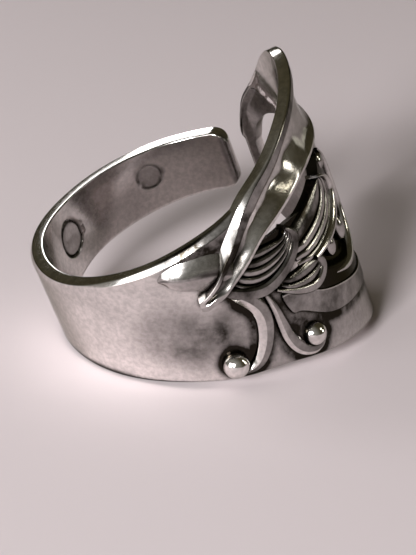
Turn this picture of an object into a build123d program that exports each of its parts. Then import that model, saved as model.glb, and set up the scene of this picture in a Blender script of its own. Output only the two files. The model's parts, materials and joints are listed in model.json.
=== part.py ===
from build123d import *
from math import cos, hypot, radians, sin
import os

os.makedirs("parts", exist_ok=True)

# A finger ring bent from the handle of a silver spoon. The hoop is open: its narrow cut end
# stands beside the broad ornamented end of the handle. All sizes are in millimetres.
finger_bore = 18.0
wall = 1.0
shank_height = 4.6
terminal_height = 20.6
terminal_wall = 0.75
terminal_flare = 0.3
edge_bevel = 0.11

# Heights of the ornament above the outside of the hoop, and how deep it is rooted in the wall.
border_rise = 0.5
lobe_rise = 0.42
ridge_depth = 0.22
plate_rise = 0.32
ribbon_rise = 0.66
root_depth = 0.4
strap_bevel = 0.14

# Breadths of the ornament's parts.
petal_rim = 0.9
petal_lower_rim = 0.42
petal_hollow = 0.34
petal_foot_rise = 0.75
tendril_width = 1.05
curl_width = 0.7
lobe_border_width = 0.8
ribbon_width = 0.45
nub_width = 1.9
ball_diameter = 1.75
bud_diameter = 1.75
cavity_depth = 0.45
petal_bed = 0.42

# Plain punches inside the shank.
punch_length = 2.6
punch_width = 2.1
punch_depth = 0.12

inner_radius = finger_bore / 2
outer_radius = inner_radius + wall
terminal_inner_radius = outer_radius - terminal_wall
shank_half = shank_height / 2
terminal_half = terminal_height / 2

# The handle's outline round the hoop, from the cut end to the tip. Columns: angle in degrees,
# how far the upper and lower edges have swollen from the shank's height to the terminal's,
# the share of the change from the shank's wall to the terminal's, where the bed of the leaf
# begins as a share of the upper edge's height, and the share of the bed's depth.
handle_outline = [
    (71, 0.00, 0.00, 0.0, 0.50, 0.0),
    (90, 0.00, 0.00, 0.0, 0.50, 0.0),
    (120, 0.02, 0.02, 0.0, 0.50, 0.0),
    (150, 0.04, 0.04, 0.0, 0.50, 0.0),
    (180, 0.09, 0.09, 0.0, 0.50, 0.0),
    (205, 0.11, 0.10, 0.0, 0.50, 0.0),
    (225, 0.14, 0.14, 0.0, 0.50, 0.0),
    (245, 0.20, 0.20, 0.0, 0.50, 0.0),
    (265, 0.275, 0.275, 0.1, 0.52, 0.0),
    (285, 0.37, 0.37, 0.3, 0.58, 0.0),
    (300, 0.45, 0.43, 0.6, 0.64, 0.1),
    (308, 0.515, 0.49, 0.8, 0.66, 0.4),
    (316, 0.59, 0.56, 0.9, 0.66, 0.8),
    (328, 0.69, 0.66, 1.0, 0.64, 1.0),
    (340, 0.79, 0.75, 1.0, 0.60, 1.0),
    (352, 0.87, 0.85, 1.0, 0.55, 1.0),
    (364, 0.93, 0.93, 1.0, 0.53, 1.0),
    (376, 0.945, 0.98, 1.0, 0.53, 1.0),
    (384, 0.89, 0.93, 1.0, 0.55, 1.0),
    (393, 0.76, 0.80, 1.0, 0.62, 1.0),
    (402, 0.57, 0.60, 1.0, 0.72, 0.8),
    (410, 0.415, 0.41, 1.0, 0.80, 0.3),
    (415, 0.29, 0.29, 1.0, 0.80, 0.0),
    (418.5, 0.14, 0.14, 1.0, 0.80, 0.0),
    (420, 0.05, 0.05, 1.0, 0.80, 0.0),
]

# The long boat-shaped leaf. Columns: angle, the upper side's foot and crest and the lower edge
# as shares of the terminal's half height, the rims' breadth as a share of the full rims, and
# the rise of the upper and of the lower rim as shares of the foot's rise.
petal_rows = [
    (-81.5, 0.138, 0.132, 0.112, 0.10, 0.70, 0.70),
    (-77.5, 0.205, 0.190, 0.110, 0.42, 1.00, 1.00),
    (-73.5, 0.275, 0.258, 0.124, 0.62, 0.95, 0.95),
    (-70.0, 0.375, 0.325, 0.160, 0.75, 0.85, 0.85),
    (-65.0, 0.480, 0.405, 0.214, 0.90, 0.70, 0.75),
    (-60.0, 0.565, 0.515, 0.267, 1.30, 0.55, 0.62),
    (-55.0, 0.630, 0.595, 0.325, 1.45, 0.40, 0.52),
    (-50.0, 0.672, 0.655, 0.364, 1.45, 0.28, 0.45),
    (-45.0, 0.705, 0.692, 0.393, 1.25, 0.20, 0.42),
    (-38.0, 0.752, 0.742, 0.427, 1.15, 0.16, 0.40),
    (-28.0, 0.822, 0.812, 0.470, 1.00, 0.14, 0.40),
    (-16.0, 0.890, 0.878, 0.488, 0.95, 0.14, 0.40),
    (-4.0, 0.950, 0.938, 0.488, 0.95, 0.14, 0.42),
    (8.0, 0.985, 0.973, 0.476, 0.95, 0.14, 0.42),
    (17.0, 0.985, 0.973, 0.476, 0.95, 0.14, 0.40),
    (25.0, 0.940, 0.928, 0.485, 0.95, 0.14, 0.36),
    (33.0, 0.845, 0.833, 0.490, 0.90, 0.14, 0.30),
    (41.0, 0.708, 0.696, 0.495, 0.80, 0.14, 0.22),
    (47.0, 0.598, 0.586, 0.500, 0.35, 0.14, 0.16),
]

# Ridged lobes. Columns: angle, upper and lower edge as shares of the terminal's half height,
# and the share of the lobes' rise.
first_lobe_rows = [
    (-70, 0.150, 0.100, 0.60),
    (-64, 0.200, 0.050, 0.85),
    (-58, 0.258, 0.030, 1.00),
    (-52, 0.285, 0.045, 1.00),
    (-46, 0.292, 0.090, 1.00),
    (-42, 0.284, 0.165, 0.90),
    (-40.5, 0.262, 0.225, 0.75),
]
second_lobe_rows = [
    (-45, 0.120, 0.000, 0.50),
    (-40, 0.262, -0.030, 0.85),
    (-33, 0.288, -0.045, 1.00),
    (-25, 0.322, -0.040, 1.00),
    (-17, 0.338, -0.010, 1.00),
    (-11, 0.320, 0.050, 0.95),
    (-8, 0.270, 0.130, 0.80),
]
third_lobe_rows = [
    (-54, -0.020, -0.045, 0.50),
    (-49, -0.020, -0.110, 0.80),
    (-43, -0.020, -0.155, 0.90),
    (-37, -0.025, -0.165, 0.90),
    (-32.5, -0.065, -0.150, 0.80),
]
# The plain collar plate below the lobes, with the same columns.
collar_rows = [
    (-52, -0.085, -0.130, 0.80),
    (-46, -0.130, -0.300, 1.00),
    (-38, -0.235, -0.420, 1.00),
    (-28, -0.335, -0.510, 1.00),
    (-16, -0.430, -0.575, 1.00),
    (-4, -0.505, -0.635, 1.00),
    (8, -0.560, -0.690, 1.00),
    (20, -0.610, -0.710, 1.00),
    (30, -0.640, -0.680, 0.80),
]

# Straps laid along the wall. Columns: angle, height as a share of the terminal's half height,
# and shares of the strap's width and of its rise.
first_border_rows = [
    (-43.0, 0.300, 0.40, 0.85),
    (-41.0, 0.245, 0.65, 1.00),
    (-42.0, 0.170, 0.90, 1.00),
    (-46.5, 0.095, 1.00, 1.00),
    (-52.5, 0.045, 1.05, 1.00),
    (-59.0, 0.025, 1.10, 1.00),
    (-65.0, 0.055, 1.00, 1.00),
]
second_border_rows = [
    (-17.0, 0.370, 0.30, 0.85),
    (-10.0, 0.310, 0.50, 0.95),
    (-6.5, 0.190, 0.70, 1.00),
    (-10.0, 0.065, 0.80, 1.00),
    (-18.0, -0.010, 0.80, 1.00),
    (-27.0, -0.035, 0.75, 1.00),
    (-35.0, -0.040, 0.60, 1.00),
]
third_border_rows = [
    (-54.0, -0.020, 0.30, 0.80),
    (-48.5, -0.110, 0.45, 0.85),
    (-42.0, -0.170, 0.60, 0.85),
    (-35.0, -0.180, 0.70, 0.85),
    (-31.5, -0.110, 0.60, 0.85),
    (-33.5, -0.050, 0.45, 0.85),
]
tendril_rows = [
    (-70.0, 0.100, 0.60, 0.90),
    (-66.5, 0.020, 1.00, 1.00),
    (-64.0, -0.070, 1.00, 1.00),
    (-63.5, -0.170, 1.00, 1.00),
    (-65.0, -0.280, 0.95, 1.00),
    (-67.5, -0.370, 0.85, 1.00),
    (-71.5, -0.440, 0.65, 0.95),
    (-76.0, -0.455, 0.40, 0.80),
]
curl_rows = [
    (-59.0, -0.030, 0.45, 0.80),
    (-58.5, -0.140, 0.65, 0.95),
    (-58.0, -0.250, 0.80, 1.00),
    (-57.2, -0.360, 0.95, 1.00),
    (-55.0, -0.465, 1.05, 1.00),
    (-51.0, -0.545, 0.95, 1.00),
    (-46.0, -0.565, 0.80, 1.00),
    (-42.5, -0.530, 0.55, 0.90),
]
ribbon_rows = [
    (-2.0, 0.400, 0.60, 0.50),
    (4.0, 0.280, 0.90, 0.80),
    (8.0, 0.120, 1.00, 0.95),
    (9.0, -0.060, 1.00, 1.00),
    (8.0, -0.220, 1.00, 1.00),
    (4.0, -0.350, 1.00, 0.90),
    (-4.0, -0.410, 1.00, 0.75),
    (-13.0, -0.380, 0.90, 0.65),
    (-20.0, -0.310, 0.60, 0.55),
]
nub_rows = [
    (-92.5, 0.345, 0.15, 0.30),
    (-90.0, 0.335, 0.60, 0.70),
    (-86.0, 0.325, 0.90, 0.95),
    (-80.0, 0.300, 1.00, 1.00),
    (-74.0, 0.250, 0.90, 1.00),
    (-68.0, 0.180, 0.70, 0.90),
]

# Round parts. Columns: angle, height as a share of the terminal's half height, diameter as a
# share of the named ball or bud, and how far the centre stands out, as a share of its radius.
ball_places = [
    (-78.2, -0.384, 1.00, 0.25),
    (-46.2, -0.478, 0.95, 0.22),
]
bud_places = [
    (-9.0, -0.118, 1.05, -0.30),
    (-22.5, -0.122, 0.85, -0.30),
    (0.5, 0.322, 0.85, -0.40),
]

# The slit between the leaf and the lobes. Columns: angle, upper and lower edge at the inside
# of the wall as shares of the terminal's half height.
slit_rows = [
    (-55, 0.312, 0.278),
    (-48, 0.360, 0.274),
    (-42, 0.393, 0.273),
    (-34, 0.430, 0.262),
    (-26, 0.458, 0.254),
    (-18, 0.470, 0.262),
    (-10, 0.473, 0.284),
    (-4, 0.466, 0.350),
]
slit_slope = 0.45
# The opening in the hidden end of the handle, with the same columns.
loop_rows = [
    (36, 0.410, 0.260),
    (42, 0.385, 0.060),
    (48, 0.325, -0.100),
    (52, 0.240, -0.130),
    (55, 0.120, -0.040),
]
# The sunken ground behind the buds, with the same columns.
cavity_rows = [
    (-34, -0.090, -0.150),
    (-26, -0.070, -0.240),
    (-16, -0.050, -0.320),
    (-6, 0.020, -0.350),
    (4, 0.140, -0.280),
]
# Plain punches inside the shank. Columns: angle, height as a share of the shank's half height,
# and length and width as shares of the named punch.
punch_places = [
    (156.5, 0.06, 1.00, 1.00),
    (108.0, 0.16, 0.80, 0.98),
]

# The way down when the ring lies on its side, as slopes of the hoop's axis to start from.
first_lean = 0.32


def radial_plane(angle):
    """The plane through the hoop's axis at this angle: x is the radius, y the height."""
    outward = (cos(radians(angle)), sin(radians(angle)), 0)
    return Plane(origin=(0, 0, 0), x_dir=outward, z_dir=(outward[1], -outward[0], 0))


def on_hoop(angle, radius, height):
    return Vector(radius * cos(radians(angle)), radius * sin(radians(angle)), height)


def strap_plane(rows, index):
    """The plane across a strap at one of its rows: x is across the strap, y is outward."""
    before = rows[max(index - 1, 0)]
    after = rows[min(index + 1, len(rows) - 1)]
    along = outer_radius * radians(after[0] - before[0])
    up = terminal_half * (after[1] - before[1])
    angle = rows[index][0]
    outward = Vector(cos(radians(angle)), sin(radians(angle)), 0)
    around = Vector(-sin(radians(angle)), cos(radians(angle)), 0)
    tangent = (around * along + Vector(0, 0, up)) * (1 / hypot(along, up))
    place = on_hoop(angle, outer_radius, terminal_half * rows[index][1])
    return Plane(origin=place, x_dir=outward.cross(tangent), z_dir=tangent)


def section(plane, corners):
    with BuildSketch(plane) as outline:
        with BuildLine():
            Polyline(*corners, close=True)
        make_face()
    return outline.sketch


def lay_strap(rows, width, rise):
    """A flat strap with bevelled edges, rooted in the wall."""
    sections = []
    for index, (angle, height, width_share, rise_share) in enumerate(rows):
        half = width * width_share / 2
        top = rise * rise_share
        bevel = min(strap_bevel, half / 2)
        corners = [
            (-half, -root_depth),
            (half, -root_depth),
            (half, top - bevel),
            (half - bevel, top),
            (bevel - half, top),
            (-half, top - bevel),
        ]
        sections.append(section(strap_plane(rows, index), corners))
    loft(sections)


def lay_lobe(rows, ridges, rise, groove):
    """A lobe whose outer face carries ridges that run together at its ends."""
    sections = []
    for angle, upper, lower, rise_share in rows:
        low = terminal_half * lower
        step = terminal_half * (upper - lower) / (2 * ridges)
        crest = outer_radius + rise * rise_share
        foot = outer_radius - root_depth
        corners = [(foot, low), (crest - groove * rise_share, low)]
        for count in range(1, 2 * ridges):
            dip = groove * rise_share if count % 2 == 0 else 0
            corners.append((crest - dip, low + step * count))
        corners.append((crest - groove * rise_share, low + 2 * ridges * step))
        corners.append((foot, low + 2 * ridges * step))
        sections.append(section(radial_plane(angle), corners))
    loft(sections)


def lay_petal(rows):
    """A long hollow leaf: two rims with a concave floor between them."""
    sections = []
    for angle, foot, crest, lower, breadth, upper_rise, lower_rise in rows:
        upper_top = outer_radius + petal_foot_rise * upper_rise
        lower_top = outer_radius + petal_foot_rise * lower_rise
        low = terminal_half * lower
        high = terminal_half * crest
        inner_low = low + petal_lower_rim * min(breadth, 1)
        inner_high = high - petal_rim * breadth
        gap = inner_high - inner_low
        floor = min(upper_top, lower_top) - petal_hollow * min(breadth, 1)
        root = terminal_inner_radius + edge_bevel / 2
        corners = [
            (root, low),
            (lower_top - strap_bevel, low),
            (lower_top, low + strap_bevel * min(breadth, 1)),
            (lower_top, inner_low),
            (floor + petal_hollow * 0.3, inner_low + gap * 0.15),
            (floor, inner_low + gap * 0.4),
            (floor, inner_low + gap * 0.65),
            (floor + petal_hollow * 0.3, inner_high - gap * 0.12),
            (upper_top, inner_high),
            (upper_top, high),
            (upper_top - strap_bevel, (high + terminal_half * foot) / 2),
            (outer_radius - strap_bevel, terminal_half * foot),
            (root, terminal_half * foot),
        ]
        sections.append(section(radial_plane(angle), corners))
    loft(sections)


def cut_gap(rows, inner, outer, slope):
    """A gap whose outline follows the table, cut between two radii. Its floor may slope."""
    sections = []
    for angle, upper, lower in rows:
        high = terminal_half * upper
        low = terminal_half * lower
        inner_low = low - slope * (terminal_inner_radius - inner)
        outer_low = min(low + slope * (outer - terminal_inner_radius), high - wall / 10)
        corners = [(inner, inner_low), (outer, outer_low), (outer, high), (inner, high)]
        sections.append(section(radial_plane(angle), corners))
    loft(sections, mode=Mode.SUBTRACT)


# The raised ornament below the leaf, rooted in the wall.
with BuildPart() as relief:
    lay_lobe(collar_rows, 1, plate_rise, 0.02)
    lay_lobe(first_lobe_rows, 5, lobe_rise, ridge_depth)
    lay_lobe(second_lobe_rows, 4, lobe_rise, ridge_depth)
    lay_lobe(third_lobe_rows, 2, lobe_rise, ridge_depth)
    lay_strap(nub_rows, nub_width, border_rise)
    lay_strap(first_border_rows, lobe_border_width, border_rise)
    lay_strap(second_border_rows, lobe_border_width, border_rise)
    lay_strap(third_border_rows, lobe_border_width, border_rise)
    lay_strap(tendril_rows, tendril_width, border_rise)
    lay_strap(curl_rows, curl_width, border_rise)
    lay_strap(ribbon_rows, ribbon_width, ribbon_rise)

# The balls at the tendrils' ends and the buds in the sunken ground.
with BuildPart() as beads:
    for angle, height, share, stand in ball_places:
        radius = ball_diameter * share / 2
        with Locations(on_hoop(angle, outer_radius + radius * stand, terminal_half * height)):
            Sphere(radius)
    for angle, height, share, stand in bud_places:
        radius = bud_diameter * share / 2
        with Locations(on_hoop(angle, outer_radius + radius * stand, terminal_half * height)):
            Sphere(radius)

with BuildPart() as hoop:
    # The handle, one strip of silver bent round, with all its long edges bevelled.
    sections = []
    for angle, upper, lower, change, bed_start, bed in handle_outline:
        high = shank_half + (terminal_half - shank_half) * upper
        low = -shank_half - (terminal_half - shank_half) * lower
        inside = inner_radius + (terminal_inner_radius - inner_radius) * change
        flared = outer_radius + terminal_flare * change
        bedded = outer_radius - petal_bed * bed
        corners = [
            (inside, low + edge_bevel),
            (inside + edge_bevel, low),
            (flared - edge_bevel, low),
            (flared, low + edge_bevel),
            (outer_radius, high * bed_start),
            (bedded, high * bed_start + petal_bed * max(bed, 0.3)),
            (bedded, high - edge_bevel),
            (bedded - edge_bevel, high),
            (inside + edge_bevel, high),
            (inside, high - edge_bevel),
        ]
        sections.append(section(radial_plane(angle), corners))
    loft(sections)
    cut_gap(loop_rows, inner_radius - wall, outer_radius + wall, 0)
    cut_gap(cavity_rows, outer_radius - cavity_depth, outer_radius + wall, 0)
    add(relief.part)
    cut_gap(slit_rows, inner_radius - wall / 2, outer_radius + wall, slit_slope)
    lay_petal(petal_rows)
    add(beads.part)
    # The plain punches inside the shank.
    for angle, height, length, width in punch_places:
        outward = on_hoop(angle, 1, 0)
        place = on_hoop(angle, inner_radius + punch_depth, shank_half * height)
        with BuildSketch(Plane(origin=place, x_dir=(0, 0, 1), z_dir=outward)):
            Ellipse(punch_length * length / 2, punch_width * width / 2)
        extrude(amount=-wall, mode=Mode.SUBTRACT)

# The ring lies on its side, where its weight is lowest.
skin, _ = hoop.part.tessellate(0.05, 0.3)
underside = [point for point in skin if point.Z < -shank_half / 2]
centre = hoop.part.center(CenterOf.MASS)


def height_over_floor(lean, pitch):
    up = Vector(lean, pitch, 1).normalized()
    return centre.dot(up) - min(point.dot(up) for point in underside)


best = (height_over_floor(first_lean, 0), first_lean, 0)
stride = 0.1
while stride > 0.0005:
    tries = [best]
    for turn in range(12):
        lean = best[1] + stride * cos(radians(30 * turn))
        pitch = best[2] + stride * sin(radians(30 * turn))
        tries.append((height_over_floor(lean, pitch), lean, pitch))
    lowest = min(tries)
    if lowest[0] >= best[0]:
        stride = stride / 2
    best = lowest

up = Vector(best[1], best[2], 1).normalized()
across = Vector(0, 1, 0).cross(up).normalized()
floor = Plane(origin=(0, 0, 0), x_dir=across, z_dir=up)
resting_skin = [floor.to_local_coords(point) for point in skin]
low_corner = Vector(*[min(tuple(point)[axis] for point in resting_skin) for axis in range(3)])
high_corner = Vector(*[max(tuple(point)[axis] for point in resting_skin) for axis in range(3)])
middle = (low_corner + high_corner) * 0.5
to_base = Location((-middle.X, -middle.Y, -low_corner.Z))
resting_hoop = to_base * floor.to_local_coords(hoop.part)

with BuildPart() as ring:
    add(resting_hoop)

ring.part.label = "ring"
export_step(ring.part, "parts/ring.step")

axis = Vector(*[Vector(*direction).dot(Vector(0, 0, 1)) for direction in
                (tuple(floor.x_dir), tuple(floor.y_dir), tuple(floor.z_dir))])
hoop_centre = floor.to_local_coords(Vector(0, 0, 0)) + to_base.position
print("lean", best[1], "pitch", best[2])
print("hoop's centre", hoop_centre, "axis", axis)
print("volume", ring.part.volume, "solids", len(ring.part.solids()))
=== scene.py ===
import json
import math

import bmesh
import bpy
import numpy as np
from mathutils import Matrix, Vector


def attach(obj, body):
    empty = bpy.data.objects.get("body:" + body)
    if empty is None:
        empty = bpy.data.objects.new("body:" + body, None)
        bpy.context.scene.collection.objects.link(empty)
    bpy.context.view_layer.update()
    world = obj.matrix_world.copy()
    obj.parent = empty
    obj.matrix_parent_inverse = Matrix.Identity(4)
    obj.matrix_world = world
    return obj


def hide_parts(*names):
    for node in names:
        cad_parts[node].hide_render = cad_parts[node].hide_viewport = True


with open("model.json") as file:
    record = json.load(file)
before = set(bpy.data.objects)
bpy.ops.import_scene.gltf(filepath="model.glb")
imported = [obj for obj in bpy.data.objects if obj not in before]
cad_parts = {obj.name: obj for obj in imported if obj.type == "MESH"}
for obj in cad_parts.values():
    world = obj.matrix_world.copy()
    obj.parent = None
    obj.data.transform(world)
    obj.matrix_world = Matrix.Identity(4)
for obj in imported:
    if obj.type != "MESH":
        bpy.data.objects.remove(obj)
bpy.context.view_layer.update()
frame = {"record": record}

millimetre = 0.001
blackStain = 1.9                                               # stays black through the clouds of wear

# The ring's own sizes in millimetres, the same as in the solids.
ringSizes = {
    "innerRadius": 9.0,
    "outerRadius": 10.0,
    "endInnerRadius": 9.25,
    "flare": 0.3,
    "shankHalf": 2.3,
    "endHalf": 10.3,
    "root": 0.4,
}

# The finger hole's centre and tilted axis come from the record, and give the hoop's own frame.
fingerHole = frame["record"]["mounts"][0]
holeAxis = Vector(fingerHole["axis"]).normalized()
holeCentre = np.array(fingerHole["pos_m"])
leanSlope = -holeAxis.x / math.sqrt(1 - holeAxis.x ** 2)
steepness = 1 / holeAxis.z
tipSlope = -math.copysign(math.sqrt(max(steepness ** 2 - 1 - leanSlope ** 2, 0)), holeAxis.y)
hoopUp = Vector((leanSlope, tipSlope, 1)).normalized()
hoopSide = Vector((1, 0, -leanSlope)).normalized()
hoopFront = hoopUp.cross(hoopSide)
hoopToRow = np.array([hoopSide, hoopFront, hoopUp])


def inRow(points):
    # hoop coordinates in millimetres become row coordinates in metres
    return np.asarray(points) @ hoopToRow.T * millimetre + holeCentre


def onHoop(angles, radii, heights):
    turn = np.radians(angles)
    return np.stack([radii * np.cos(turn), radii * np.sin(turn), heights + 0 * turn], axis=-1)


# Camera, as fitted to the hoop's rims in millimetres and pixels of a 416 by 555 picture.
cameraFit = {
    "axisLean": 21.3,
    "axisPitch": 32.1,
    "hoopRight": -1.42,
    "hoopUp": 2.65,
    "distance": 132.8,
    "focalPixels": 2000,
    "pictureHeight": 555,
    "sensor": 36.0,
    "nearest": 0.005,
}


def placeCamera(fit):
    lean = math.radians(fit["axisLean"])
    pitch = math.radians(fit["axisPitch"])
    level = math.cos(pitch)
    axis = Vector((-math.sin(lean) * level, math.cos(lean) * level, math.sin(pitch)))
    first = (Vector((1, 0, 0)) - axis * axis.x).normalized()
    second = axis.cross(first)
    middle = Vector((fit["hoopRight"], fit["hoopUp"], -fit["distance"]))
    seat = np.array([-middle.dot(first), -middle.dot(second), -middle.dot(axis)])
    turned = hoopToRow @ np.array([first, second, axis])
    place = Matrix.Identity(4)
    for row in range(3):
        for column in range(3):
            place[row][column] = turned[row][column]
        place[row][3] = inRow(seat)[row]
    data = bpy.data.cameras.new("camera")
    data.sensor_width = fit["sensor"]
    data.lens = fit["focalPixels"] / fit["pictureHeight"] * fit["sensor"]
    data.clip_start = fit["nearest"]
    camera = bpy.data.objects.new("camera", data)
    camera.matrix_world = place
    bpy.context.scene.collection.objects.link(camera)
    bpy.context.scene.camera = camera
    return camera


camera = placeCamera(cameraFit)
print("stage: camera placed", [round(n, 4) for n in camera.matrix_world.translation])


def cubicThrough(knots, values, at):
    # a natural cubic through the rows of a table
    knots = np.asarray(knots, float)
    values = np.asarray(values, float)
    at = np.clip(at, knots[0], knots[-1])
    step = np.diff(knots)
    count = len(knots)
    system = np.eye(count)
    right = np.zeros((count, values.shape[1]))
    for i in range(1, count - 1):
        system[i, i - 1] = step[i - 1]
        system[i, i] = 2 * (step[i - 1] + step[i])
        system[i, i + 1] = step[i]
        ahead = (values[i + 1] - values[i]) / step[i]
        right[i] = 6 * (ahead - (values[i] - values[i - 1]) / step[i - 1])
    bend = np.linalg.solve(system, right)
    i = np.clip(np.searchsorted(knots, at, side="right") - 1, 0, count - 2)
    h = step[i][:, None]
    before = (knots[i + 1] - at)[:, None]
    after = (at - knots[i])[:, None]
    return (bend[i] * before ** 3 / (6 * h) + bend[i + 1] * after ** 3 / (6 * h)
            + (values[i] / h - bend[i] * h / 6) * before
            + (values[i + 1] / h - bend[i + 1] * h / 6) * after)


def followAngle(rows, angles):
    # the table's other columns at these angles, which its first column holds in order
    table = np.array(rows, float)
    return cubicThrough(table[:, 0], table[:, 1:], np.asarray(angles, float))


def walkRows(rows, count):
    # evenly spaced rows along a path of angle and height share
    table = np.array(rows, float)
    around = np.radians(table[:, 0]) * ringSizes["outerRadius"]
    path = np.stack([around, table[:, 1] * ringSizes["endHalf"]], 1)
    gone = np.concatenate([[0], np.cumsum(np.linalg.norm(np.diff(path, axis=0), axis=1))])
    return cubicThrough(gone, table, np.linspace(0, gone[-1], count))


def roundCorners(corners, radii, steps=3, sideShare=0.45):
    # the closed outline with each corner eased by its own radius, up to a share of its sides
    points = []
    count = len(corners)
    for i in range(count):
        corner = np.array(corners[i], float)
        if radii[i] == 0:
            points.append(corner)
            continue
        before = np.array(corners[i - 1], float) - corner
        after = np.array(corners[(i + 1) % count], float) - corner
        cut = min(radii[i], sideShare * np.linalg.norm(before), sideShare * np.linalg.norm(after))
        start = corner + before / (np.linalg.norm(before) + 1e-9) * cut
        end = corner + after / (np.linalg.norm(after) + 1e-9) * cut
        for k in range(steps + 1):
            t = k / steps
            points.append((1 - t) ** 2 * start + 2 * t * (1 - t) * corner + t ** 2 * end)
    return np.array(points)


def smoothStep(value):
    value = np.clip(value, 0, 1)
    return value * value * (3 - 2 * value)


def risePast(value, start, over):
    # from 0 to 1 as the value passes the start
    return smoothStep((value - start) / over)


def fallTo(value, end, over):
    # from 1 to 0 as the value comes up to the end
    return smoothStep((end - value) / over)


def newPiece(name, points, faces, material, crease, tarnishShades):
    mesh = bpy.data.meshes.new(name)
    mesh.from_pydata([tuple(p) for p in inRow(points)], [], faces)
    # each point carries its darkening by tarnish and painted shade
    mesh.attributes.new("tarnishShade", "FLOAT", "POINT").data.foreach_set("value", tarnishShades)
    shape = bmesh.new()
    shape.from_mesh(mesh)
    bmesh.ops.recalc_face_normals(shape, faces=shape.faces)
    shape.to_mesh(mesh)
    shape.free()
    mesh.polygons.foreach_set("use_smooth", [True] * len(mesh.polygons))
    mesh.set_sharp_from_angle(angle=math.radians(crease))
    mesh.materials.append(material)
    piece = bpy.data.objects.new(name, mesh)
    bpy.context.scene.collection.objects.link(piece)
    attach(piece, "root")
    return piece


def skinRings(name, rings, material, crease, tarnishShades):
    # one closed skin over rings that all have the same number of points
    size = len(rings[0])
    faces = []
    for i in range(len(rings) - 1):
        for j in range(size):
            k = (j + 1) % size
            faces.append((i * size + j, i * size + k, (i + 1) * size + k, (i + 1) * size + j))
    faces.append(tuple(range(size)))
    faces.append(tuple(range((len(rings) - 1) * size, len(rings) * size)))
    return newPiece(name, np.concatenate(rings), faces, material, crease, tarnishShades)


# Materials
surfaceLook = {
    "silver": (0.87, 0.83, 0.81, 1),
    # the dark colour of tarnish in the hollows, also used for painted shade
    "tarnishShadeColour": (0.014, 0.011, 0.007, 1),
    "grazingBlue": 0.94,
    "creaseReach": 0.0006,
    "hollowReach": 0.0015,
    "hollowSamples": 10,
    "cloudShare": 0.30,
    # each range: lowest and highest of what comes in, and what these two become
    "creaseRange": (0.62, 1.08, 1, 0),
    "hollowRange": (0.52, 1.12, 0.90, 0),
    "tarnishShadeRange": (0.30, 0.66, 0.55, 1.25),
    "toneRange": (0.30, 0.66, 0.80, 1.02),
    "speckRange": (0.30, 0.70, 0.84, 1.08),
    "mostTarnishShade": 0.99,
    "tarnishShadeDulls": 0.07,
    "grainDulls": 0.08,
    # scale, detail and roughness of each noise
    "clouds": (330.0, 6, 0.62),
    "grain": (3200.0, 3, 0.6),
    "scratches": (900.0, 3, 0.6),
    "scratchTurn": (0.3, 0.5, 0.9),
    "scratchStretch": (1.0, 9.0, 5.0),
    "scratchShare": 0.5,
    "scratchDepth": 0.00004,
}


def makeNode(nodes, kind, **values):
    node = nodes.new(kind)
    for name, value in values.items():
        setattr(node, name, value)
    return node


def makeMath(nodes, links, operation, *sources):
    node = makeNode(nodes, "ShaderNodeMath", operation=operation)
    for socket, source in zip(node.inputs, sources):
        if isinstance(source, (int, float)):
            socket.default_value = source
        else:
            links.new(source, socket)
    return node.outputs[0]


def makeRange(nodes, links, source, *ends):
    node = makeNode(nodes, "ShaderNodeMapRange", interpolation_type="SMOOTHSTEP")
    links.new(source, node.inputs["Value"])
    for name, value in zip(("From Min", "From Max", "To Min", "To Max"), ends):
        node.inputs[name].default_value = value
    return node.outputs["Result"]


def makeNoise(nodes, links, place, scale, detail, roughness):
    node = makeNode(nodes, "ShaderNodeTexNoise")
    node.inputs["Scale"].default_value = scale
    node.inputs["Detail"].default_value = detail
    node.inputs["Roughness"].default_value = roughness
    links.new(place, node.inputs["Vector"])
    return node.outputs["Fac"]


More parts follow.
